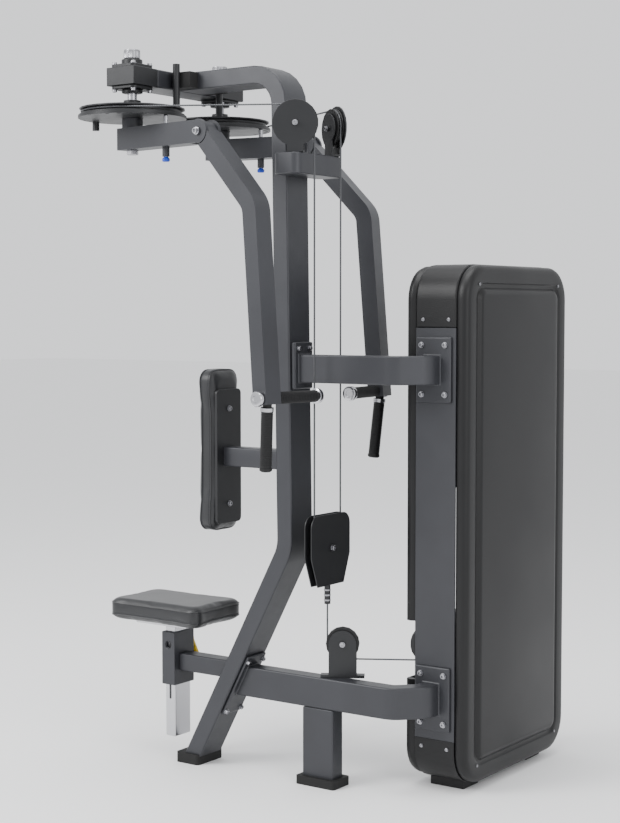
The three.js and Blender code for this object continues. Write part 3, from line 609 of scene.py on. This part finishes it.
def grip_bar(side):
    """The cross handle: a ribbed rubber sleeve between chrome caps, on a rod through the arm."""
    node = f"cross_handle_{side}"
    centre, axis, half = axis_of(node)
    if (axis.x < 0) == (side == "left"):
        axis = -axis
    outer = centre + axis * half
    body = f"swing_arm_{side}"
    cap = 0.014
    arm_end = cap + 2 * ARM_HALF
    end = 2 * half - cap
    rings = [(0.010, cap + 0.001), (0.010, arm_end), (0.0140, arm_end + 0.0005)]
    rings += rib_rings(arm_end + 0.001, end, 26, 0.55)
    rings.append((GRIP_ROOT, end))
    inward = [(radius, -depth) for radius, depth in reversed(rings)]
    bar = ring_stack(f"grip_{node}", inward, GRIP_RUBBER, outer, axis, 40)
    finish(bar, body, "grip_rubber", node)
    profile = [
        (0.0185, 0.0), (0.0205, 0.0012), (0.0205, 0.0100), (0.0190, 0.0128), (0.0150, 0.0138),
        (0.0100, 0.0138), (0.0090, 0.0118), (0.0040, 0.0118),
    ]
    for label, place, facing in (("outer", outer - axis * cap, axis), ("inner", outer - axis * end, -axis)):
        end_cap = ring_stack(f"cap_{node}_{label}", profile, CHROME, place, facing)
        finish(end_cap, body, "chrome")


def down_grip(side):
    """The hanging grip: a ribbed rubber sleeve with a flared end, under a chrome collar."""
    node = f"down_grip_{side}"
    centre, axis, half = axis_of(node)
    if axis.z > 0:
        axis = -axis
    top = centre - axis * half
    length = 2 * half
    body = f"swing_arm_{side}"
    rings = [(0.0120, -0.010), (0.0120, 0.012), (0.0150, 0.0148)]
    rings += rib_rings(0.015, length - 0.014, 30, 0.6, 0.0002)
    rings += [
        (0.0158, length - 0.012), (0.0152, length - 0.010), (0.0168, length - 0.0095),
        (0.0168, length - 0.003), (0.0130, length),
    ]
    grip = ring_stack(f"grip_{node}", rings, GRIP_RUBBER, top, axis, 40)
    finish(grip, body, "grip_rubber", node)
    collar_rings = [(0.0160, 0.003), (0.0178, 0.0042), (0.0178, 0.0135), (0.0160, 0.0148)]
    collar = ring_stack(f"collar_{node}", collar_rings, CHROME, top, axis)
    finish(collar, body, "chrome")


def fluted(radius, height, depth, flutes, sides):
    """A circle of points with shallow flutes cut in it."""
    points = []
    for i in range(sides):
        angle = 2 * math.pi * i / sides
        reach = radius * (1 - depth * (1 + math.cos(flutes * angle)) / 2)
        points.append((reach * math.cos(angle), reach * math.sin(angle), height))
    return points


def shaft_cap(side):
    """A knurled cap on the top of a pivot shaft."""
    low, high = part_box(f"pivot_shaft_{side}")
    centre = Vector(((low.x + high.x) / 2, (low.y + high.y) / 2, high.z - 0.0235))
    profile = (
        (0.0214, 0.0, 0), (0.0226, 0.0015, 0), (0.0226, 0.0030, 0.05), (0.0226, 0.0195, 0.05),
        (0.0226, 0.0205, 0), (0.0214, 0.0240, 0), (0.0130, 0.0246, 0), (0.0115, 0.0230, 0),
    )
    rings = [fluted(radius, height, depth, 36, 144) for radius, height, depth in profile]
    cap = ring_stack(f"shaft_cap_{side}", rings, STEEL, centre, UP)
    finish(cap, f"disc_{side}", "steel")


def pop_pin(side):
    """A plunger with a steel pin and a fluted blue knob."""
    node = f"pop_pin_{side}"
    low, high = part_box(node)
    centre = Vector(((low.x + high.x) / 2, (low.y + high.y) / 2, low.z))
    tall = high.z - low.z
    tip = [(0.006, 0.010), (0.006, tall - 0.002), (0.0045, tall)]
    rod = ring_stack(f"plunger_{side}", tip, STEEL, centre, UP, 24)
    finish(rod, f"pin_{side}", "steel", node)
    profile = (
        (0.0080, 0.0, 0), (0.0105, 0.0015, 0.06), (0.0110, 0.0075, 0.06), (0.0095, 0.0095, 0),
        (0.0068, 0.0115, 0), (0.0064, 0.0132, 0),
    )
    rings = [fluted(radius, height, depth, 8, 48) for radius, height, depth in profile]
    knob = ring_stack(f"knob_{side}", rings, BLUE, centre, UP)
    finish(knob, f"pin_{side}", "blue_plastic")


# ---------------------------------------------------------------- cables
ROOT_X = (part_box("main_column")[0].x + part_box("main_column")[1].x) / 2


def wheel(name):
    """Centre and turning axis of a wheel, from its joint."""
    joint = JOINTS[name]
    return Vector(joint["pos_m"]), Vector(joint["axis"])


def arc(centre, right, up, radius, start, end):
    """Points round a wheel, in degrees from `right` towards `up`."""
    count = max(2, round(abs(end - start) / 6))
    points = []
    for i in range(count + 1):
        angle = math.radians(start + (end - start) * i / count)
        points.append(centre + right * radius * math.cos(angle) + up * radius * math.sin(angle))
    return points


def straight(start, end):
    """Evenly spaced points along a line."""
    count = max(1, round((end - start).length / 0.03))
    return [start.lerp(end, i / count) for i in range(count + 1)]


def cable_piece(name, points, body, *replaced):
    piece = tube(name, points, CABLE_RADIUS, CABLE)
    return finish(piece, body, "cable", *replaced)


def arm_cable():
    """Cam, top pulley, floating block and back: one rope between the two discs."""
    block, _ = wheel("block_pulley_turn")
    replaced = ["arm_cable"]
    for side, sign in SIDES:
        pulley, axis = wheel(f"{side}_top_pulley_turn")
        ahead = UP.cross(axis)
        strand_top = pulley + ahead * TOP_GROOVE
        cam = Vector(JOINTS[f"{side}_disc_turn"]["pos_m"])
        cam.z = pulley.z + TOP_GROOVE
        leave = math.degrees(math.atan2(ahead.x * -sign, ahead.y))
        outward = EAST * sign
        run = arc(cam, outward, NORTH, CAM_RADIUS, leave - 105, leave)
        over = arc(pulley, ahead, UP, TOP_GROOVE, 90, 0)
        cable_piece(f"rope_cam_to_pulley_{side}", run + over, "root", *replaced)
        replaced = []
        wound = arc(cam, outward, NORTH, CAM_RADIUS - 0.0004, leave - 150, leave)
        cable_piece(f"rope_on_cam_{side}", wound, f"disc_{side}")
        strand_low = Vector((strand_top.x, strand_top.y, block.z))
        strand = tube(f"rope_strand_{side}", straight(strand_top, strand_low), CABLE_RADIUS, CABLE)
        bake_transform(strand)
    under = arc(block, EAST, UP, BLOCK_GROOVE, 0, -180)
    cable_piece("rope_under_block", under, "pulley_block")


def stack_cable():
    """From the block round the base and low pulleys, over the head pulleys, to the stack."""
    base, base_axis = wheel("base_pulley_turn")
    low, _ = wheel("low_pulley_turn")
    near, _ = wheel("near_head_pulley_turn")
    far, _ = wheel("far_head_pulley_turn")
    ahead = UP.cross(base_axis)
    top = base - ahead * BASE_GROOVE
    top.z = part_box("floating_block")[0].z + 0.004
    entry = Vector((top.x, top.y, base.z))
    hanger = tube("rope_hanger", straight(top, entry), CABLE_RADIUS, CABLE)
    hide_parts("stack_cable")
    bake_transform(hanger)
    route = arc(base, ahead, UP, BASE_GROOVE, 180, 270) + arc(low, ahead, UP, TOWER_GROOVE, 270, 360)
    route += arc(near, EAST, UP, TOWER_GROOVE, 0, 90) + arc(far, EAST, UP, TOWER_GROOVE, 90, 180)
    cable_piece("rope_through_tower", route, "root")
    lift_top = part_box("weight_plates_lifted")[1].z
    drop = far - EAST * TOWER_GROOVE
    stem = Vector((drop.x, drop.y, lift_top))
    tail = tube("rope_to_stack", straight(drop, stem), CABLE_RADIUS, CABLE)
    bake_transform(tail)


# ---------------------------------------------------------------- fasteners
def grid_spots(centre, across, along, half_across, half_along, facing):
    """The four corners of a bolt pattern."""
    return [(centre + across * a + along * b, facing)
            for a in (-half_across, half_across) for b in (-half_along, half_along)]


def mesh_shape(node):
    """A node's corners and faces, for a search tree."""
    mesh = node.data
    return [vertex.co for vertex in mesh.vertices], [tuple(face.vertices) for face in mesh.polygons]


def frame_bolts():
    """Bolt places on the frame, as (point, facing)."""
    spots = []
    for node in ("upper_link_beam", "base_beam"):
        low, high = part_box(node)
        middle = Vector((low.x + 0.0083, high.y - 0.0535, high.z - 0.0875))
        spots += grid_spots(middle, NORTH, UP, 0.036, 0.066, EAST)
    low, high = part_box("upper_link_beam")
    column_face = low.y + 0.0145
    for x in (-0.026, 0.026):
        spots.append((Vector((ROOT_X + x, column_face, high.z - 0.033)), NORTH))
    for side, _ in SIDES:
        box_low, box_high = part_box(f"pivot_housing_{side}")
        middle = (box_low + box_high) / 2
        for level, facing in ((box_high.z - 0.015, UP), (box_low.z + 0.009, -UP)):
            spots += grid_spots(Vector((middle.x, middle.y, level)), EAST, NORTH, 0.034, 0.034, facing)
    base = BVHTree.FromPolygons(*mesh_shape(NODES["base_beam"]))
    base_low, base_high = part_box("base_beam")
    for x in (-0.034, 0.034):
        for z in (base_low.z + 0.012, base_high.z - 0.030):
            spot, normal, _, _ = base.ray_cast(Vector((ROOT_X + x, base_high.y, z)), -NORTH)
            if spot:
                spots.append((spot, normal))
    plate_low, plate_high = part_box("pad_support")
    for z in (plate_low.z + 0.055, plate_high.z - 0.055):
        spots.append((Vector((ROOT_X, plate_low.y + 0.0087, z)), NORTH))
    return spots


def ferrule_crimps():
    """Three crimped bands on the ferrule under the floating block."""
    centre, _ = wheel("block_pulley_turn")
    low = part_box("floating_block")[0].z
    for index in range(3):
        rings = [(0.0084, 0.0), (0.0095, 0.0008), (0.0095, 0.0042), (0.0084, 0.0050)]
        place = Vector((centre.x, centre.y, low + 0.008 + 0.014 * index))
        band = ring_stack(f"crimp_{index}", rings, STEEL, place, UP, 32)
        finish(band, "pulley_block", "steel")


def post_slot():
    """Painted shade: a thin dark slab down the near side of the seat post, standing in for the shade inside
    the post's slot.
    """
    low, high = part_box("seat_sleeve")
    middle = (low.y + high.y) / 2
    face = ROOT_X + 0.035
    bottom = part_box("seat_post")[0].z
    slot_low = Vector((face - 0.002, middle - 0.0035, bottom + 0.110))
    slot_high = Vector((face + 0.0004, middle + 0.0035, bottom + 0.300))
    slot = link_mesh("post_slot", slab_mesh("post_slot", slot_low, slot_high, 0, 0.003, 6), DARK_PAINT)
    soften(slot)
    finish(slot, "seat", "dark_paint")


def tower_screws():
    """Screws at the corners of the rear panel and on the near side of both caps."""
    low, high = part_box("rear_shroud")
    spots = []
    for z in (low.z + 0.050, high.z - 0.050):
        for x in (low.x + 0.060, high.x - 0.060):
            spots.append((Vector((x, high.y - 0.0012, z)), NORTH))
    top_low, top_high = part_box("tower_top_cap")
    bottom_low, bottom_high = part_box("tower_bottom_cap")
    caps = ((top_low, top_high, top_low.z + 0.022), (bottom_low, bottom_high, bottom_high.z - 0.022))
    for cap_low, cap_high, z in caps:
        for y in (cap_low.y + 0.022, cap_high.y - 0.022):
            spots.append((Vector((cap_high.x, y, z)), EAST))
    return spots


def pulley_bolts():
    """Both ends of the axles of the pulleys that stand in the open."""
    spots = []
    for name in ("left_top_pulley_turn", "right_top_pulley_turn", "base_pulley_turn"):
        centre, axis = wheel(name)
        for facing in (axis, -axis):
            spots.append((centre + facing * 0.0185, facing))
    return spots


def hinge_caps():
    """Screw heads on both ends of each arm's hinge pin."""
    template = socket_bolt()
    for side, _ in SIDES:
        centre, axis = wheel(f"{side}_arm_tilt")
        spots = [(centre + facing * 0.0310, facing) for facing in (axis, -axis)]
        scatter(f"hinge_caps_{side}", spots, template, CHROME, f"linkage_{side}", "steel", 1.3)
    drop_template(template)


def tower_outline(inset, level):
    """A rounded rectangle inside the tower's outline, seen along Y."""
    steps = 12
    low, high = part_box("rear_shroud")
    grow = inset - PANEL_INSET
    corner = TOWER_CORNER - inset
    points = []
    corners = ((high.x - grow, high.z - grow, 1, 1, 0), (low.x + grow, high.z - grow, -1, 1, 90),
               (low.x + grow, low.z + grow, -1, -1, 180), (high.x - grow, low.z + grow, 1, -1, 270))
    for x, z, side_x, side_z, start in corners:
        for step in range(steps + 1):
            angle = math.radians(start + 90 * step / steps)
            points.append((x - side_x * corner + corner * math.cos(angle), level,
                           z - side_z * corner + corner * math.sin(angle)))
    return points


def rear_panel():
    """The tower's rear panel: a bulged rim, a groove and a raised field."""
    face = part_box("rear_shroud")[0].y
    profile = (
        (0.0055, 0.0), (0.0030, 0.003), (0.0020, 0.010), (0.0020, 0.018), (0.0040, 0.0245), (0.0080, 0.0300),
        (0.0140, 0.0332), (0.0220, 0.0342), (0.0470, 0.0342), (0.0500, 0.0335), (0.0525, 0.0305),
        (0.0550, 0.0290), (0.0590, 0.0285), (0.0630, 0.0290), (0.0660, 0.0315), (0.0690, 0.0355),
        (0.0730, 0.0385), (0.0800, 0.0398),
    )
    rings = [tower_outline(inset, face + depth) for inset, depth in profile]
    panel = ring_stack("rear_panel", rings, SHROUD)
    finish(panel, "root", "shroud", "rear_shroud")


def front_lip():
    """A flange inside the tower's front edge, closing the joint behind the front panel."""
    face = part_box("front_shroud")[1].y + 0.0005
    work = bmesh.new()
    rows = [[work.verts.new(point) for point in tower_outline(inset, face + depth)]
            for inset, depth in ((0.0053, 0.0), (0.0053, 0.003), (0.024, 0.003), (0.024, 0.0))]
    for low, high in zip(rows, rows[1:] + rows[:1]):
        for i in range(len(low)):
            after = (i + 1) % len(low)
            work.faces.new((low[i], low[after], high[after], high[i]))
    bmesh.ops.recalc_face_normals(work, faces=work.faces)
    mesh = bpy.data.meshes.new("front_lip")
    work.to_mesh(mesh)
    work.free()
    lip = link_mesh("front_lip", mesh, SHROUD)
    soften(lip)
    finish(lip, "root", "shroud")


def pad_mount():
    """The back pad's plate and the tube that carries it."""
    low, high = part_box("pad_support")
    middle = (low.z + high.z) / 2
    plate_back = low.y + 0.0087
    plate_high = Vector((high.x, plate_back, high.z))
    plate = link_mesh("pad_plate", slab_mesh("pad_plate", low, plate_high, 1, 0.014), DARK_PAINT)
    round_edges(plate, 0.001)
    finish(plate, "root", "dark_paint")
    tube_low = Vector((ROOT_X - 0.025, plate_back - 0.001, middle - 0.027))
    tube_high = Vector((ROOT_X + 0.025, high.y, middle + 0.027))
    bar = link_mesh("pad_tube", slab_mesh("pad_tube", tube_low, tube_high, 1, 0.004, 3), FRAME_PAINT)
    soften(bar)
    finish(bar, "root", "frame_paint", "pad_support")


# ---------------------------------------------------------------- settings
class StageSettings(bpy.types.PropertyGroup):
    floor_color: bpy.props.FloatVectorProperty(
        name="Floor colour", description="Colour of the studio floor", subtype="COLOR",
        default=(0.92, 0.92, 0.92), size=3)
    key_power: bpy.props.FloatProperty(
        name="Key light", description="Power of the main soft light", default=200.0, min=0.0, unit="POWER")
    fill_power: bpy.props.FloatProperty(
        name="Fill light", description="Power of the fill light", default=60.0, min=0.0, unit="POWER")


class FrameSettings(bpy.types.PropertyGroup):
    edge_radius: bpy.props.FloatProperty(
        name="Edge radius", description="Rounding of steel edges", default=0.0035, min=0.0, unit="LENGTH")
    fine_radius: bpy.props.FloatProperty(
        name="Fine radius", description="Rounding of small turned pieces",
        default=0.0008, min=0.0, unit="LENGTH")


class PadSettings(bpy.types.PropertyGroup):
    seat_corner: bpy.props.FloatProperty(
        name="Seat corner", description="Corner radius of the seat pad",
        default=0.030, min=0.005, unit="LENGTH")
    back_corner: bpy.props.FloatProperty(
        name="Back corner", description="Corner radius of the back pad",
        default=0.034, min=0.005, unit="LENGTH")
    swell: bpy.props.FloatProperty(
        name="Swell", description="Most that a cover may swell", default=0.010, min=0.0, unit="LENGTH")


SETTINGS = {"pec_stage": StageSettings, "pec_frame": FrameSettings, "pec_pads": PadSettings}

WIDE_EDGES = {
    "main_column", "pivot_crossbeam", "base_beam", "rear_post", "pulley_crossbar", "seat_beam", "seat_sleeve",
    "upper_link_beam", "link_left", "link_right", "arm_left", "arm_right", "front_foot", "rear_foot",
    "pivot_housing_left", "pivot_housing_right", "tower_top_cap", "tower_bottom_cap", "seat_post",
}


# ---------------------------------------------------------------- operators
class OBJECT_OT_pec_frame(bpy.types.Operator):
    """Rounds and paints every steel and plastic piece of the frame"""
    bl_idname = "object.pec_frame"
    bl_label = "Frame pieces"

    def execute(self, context):
        settings = context.scene.pec_frame
        for node in sorted(set(NODES) - REBUILT):
            wide = node in WIDE_EDGES
            refine(node, settings.edge_radius if wide else settings.fine_radius)
        rear_panel()
        front_lip()
        pad_mount()
        return {"FINISHED"}


class OBJECT_OT_pec_pads(bpy.types.Operator):
    """Makes the seat pad and the back pad with their seams"""
    bl_idname = "object.pec_pads"
    bl_label = "Pads"

    def execute(self, context):
        settings = context.scene.pec_pads
        seat = cushion("seat_pad", 2, settings.seat_corner, 0.005, settings.swell)
        seam_loops(seat, "seat_pad", 2, settings.seat_corner, "seat")
        finish(seat, "seat", "vinyl", "seat_pad")
        back = cushion("back_pad", 1, settings.back_corner, 0.005, settings.swell)
        seam_loops(back, "back_pad", 1, settings.back_corner, "root")
        finish(back, "root", "vinyl", "back_pad")
        return {"FINISHED"}


class OBJECT_OT_pec_grips(bpy.types.Operator):
    """Makes the handles, grips and plungers of both arms"""
    bl_idname = "object.pec_grips"
    bl_label = "Grips and plungers"

    def execute(self, context):
        for side, _ in SIDES:
            grip_bar(side)
            down_grip(side)
            pop_pin(side)
            shaft_cap(side)
        return {"FINISHED"}


class OBJECT_OT_pec_cables(bpy.types.Operator):
    """Lays both wire ropes along their routes"""
    bl_idname = "object.pec_cables"
    bl_label = "Cables"

    def execute(self, context):
        arm_cable()
        stack_cable()
        return {"FINISHED"}


class OBJECT_OT_pec_bolts(bpy.types.Operator):
    """Sets bolts and screws on the frame, the tower and the pulleys"""
    bl_idname = "object.pec_bolts"
    bl_label = "Bolts"

    def execute(self, context):
        template = socket_bolt()
        scatter("frame_bolts", frame_bolts(), template, STEEL, "root", "steel")
        scatter("tower_screws", tower_screws(), template, STEEL, "root", "steel", 0.6)
        scatter("pulley_bolts", pulley_bolts(), template, STEEL, "root", "steel", 0.9)
        block, axle = wheel("block_pulley_turn")
        block_spots = [(block + facing * 0.0165, facing) for facing in (axle, -axle)]
        scatter("block_bolts", block_spots, template, STEEL, "pulley_block", "steel", 1.1)
        drop_template(template)
        hinge_caps()
        ferrule_crimps()
        post_slot()
        return {"FINISHED"}


def aim(thing, target):
    thing.rotation_euler = (target - thing.location).to_track_quat("-Z", "Y").to_euler()


def area_light(name, place, target, size, power):
    data = bpy.data.lights.new(name, "AREA")
    data.shape = "DISK"
    data.size = size
    data.energy = power
    lamp = bpy.data.objects.new(name, data)
    bpy.context.scene.collection.objects.link(lamp)
    lamp.location = place
    aim(lamp, target)


class OBJECT_OT_pec_stage(bpy.types.Operator):
    """Sets the floor, the lights, the sky and the camera"""
    bl_idname = "object.pec_stage"
    bl_label = "Stage"

    def execute(self, context):
        settings = context.scene.pec_stage
        floor_mesh = bpy.data.meshes.new("floor")
        reach = 30.0
        corners = [(-reach, -reach, 0), (reach, -reach, 0), (reach, reach, 0), (-reach, reach, 0)]
        floor_mesh.from_pydata(corners, [], [(0, 1, 2, 3)])
        floor_paint, tree, principled = shader("FloorPaint", tuple(settings.floor_color), 0.7)
        speckle = object_texture(tree, "ShaderNodeTexNoise", 3.0)
        spread(tree, speckle.outputs["Fac"], 0.66, 0.74, principled.inputs["Roughness"])
        floor = link_mesh("floor", floor_mesh, floor_paint)
        middle = Vector((0, 0, 1.0))
        area_light("KeyLight", Vector((3.6, -2.2, 3.6)), middle, 2.6, settings.key_power)
        area_light("FillLight", Vector((1.6, 4.2, 2.4)), middle, 3.0, settings.fill_power)
        area_light("TopLight", Vector((0.4, 0.2, 4.6)), middle, 3.0, settings.key_power * 0.5)
        world = bpy.data.worlds.new("StudioSky")
        world.use_nodes = True
        world.node_tree.nodes["Background"].inputs["Color"].default_value = (0.97, 0.98, 1.0, 1)
        world.node_tree.nodes["Background"].inputs["Strength"].default_value = 1.25
        context.scene.world = world
        lens = bpy.data.cameras.new("Camera")
        lens.sensor_fit = "VERTICAL"
        lens.sensor_height = 36.0
        lens.lens = 72.1
        camera = bpy.data.objects.new("Camera", lens)
        context.scene.collection.objects.link(camera)
        camera.location = Vector((ROOT_X + 3.672, 2.703, 1.297))
        yaw, pitch = math.radians(54.8), math.radians(3.455)
        level = math.cos(pitch)
        ahead = Vector((-math.sin(yaw) * level, -math.cos(yaw) * level, -math.sin(pitch)))
        aim(camera, camera.location + ahead)
        context.scene.camera = camera
        return {"FINISHED"}


class VIEW3D_PT_pec_deck(bpy.types.Panel):
    bl_idname = "VIEW3D_PT_pec_deck"
    bl_label = "Pec Deck"
    bl_space_type = "VIEW_3D"
    bl_region_type = "UI"
    bl_category = "Pec Deck"

    def draw(self, context):
        for operator in OPERATORS:
            self.layout.operator(operator.bl_idname)


OPERATORS = (
    OBJECT_OT_pec_frame, OBJECT_OT_pec_pads, OBJECT_OT_pec_grips, OBJECT_OT_pec_cables, OBJECT_OT_pec_bolts,
    OBJECT_OT_pec_stage,
)
CLASSES = (*SETTINGS.values(), *OPERATORS, VIEW3D_PT_pec_deck)


def register():
    for entry in CLASSES:
        bpy.utils.register_class(entry)
    for name, group in SETTINGS.items():
        setattr(bpy.types.Scene, name, bpy.props.PointerProperty(type=group))


def unregister():
    for name in SETTINGS:
        delattr(bpy.types.Scene, name)
    for entry in reversed(CLASSES):
        bpy.utils.unregister_class(entry)


def main():
    register()
    bpy.ops.object.pec_frame()
    bpy.ops.object.pec_pads()
    bpy.ops.object.pec_grips()
    bpy.ops.object.pec_cables()
    bpy.ops.object.pec_bolts()
    bpy.ops.object.pec_stage()


if __name__ == "__main__":
    main()
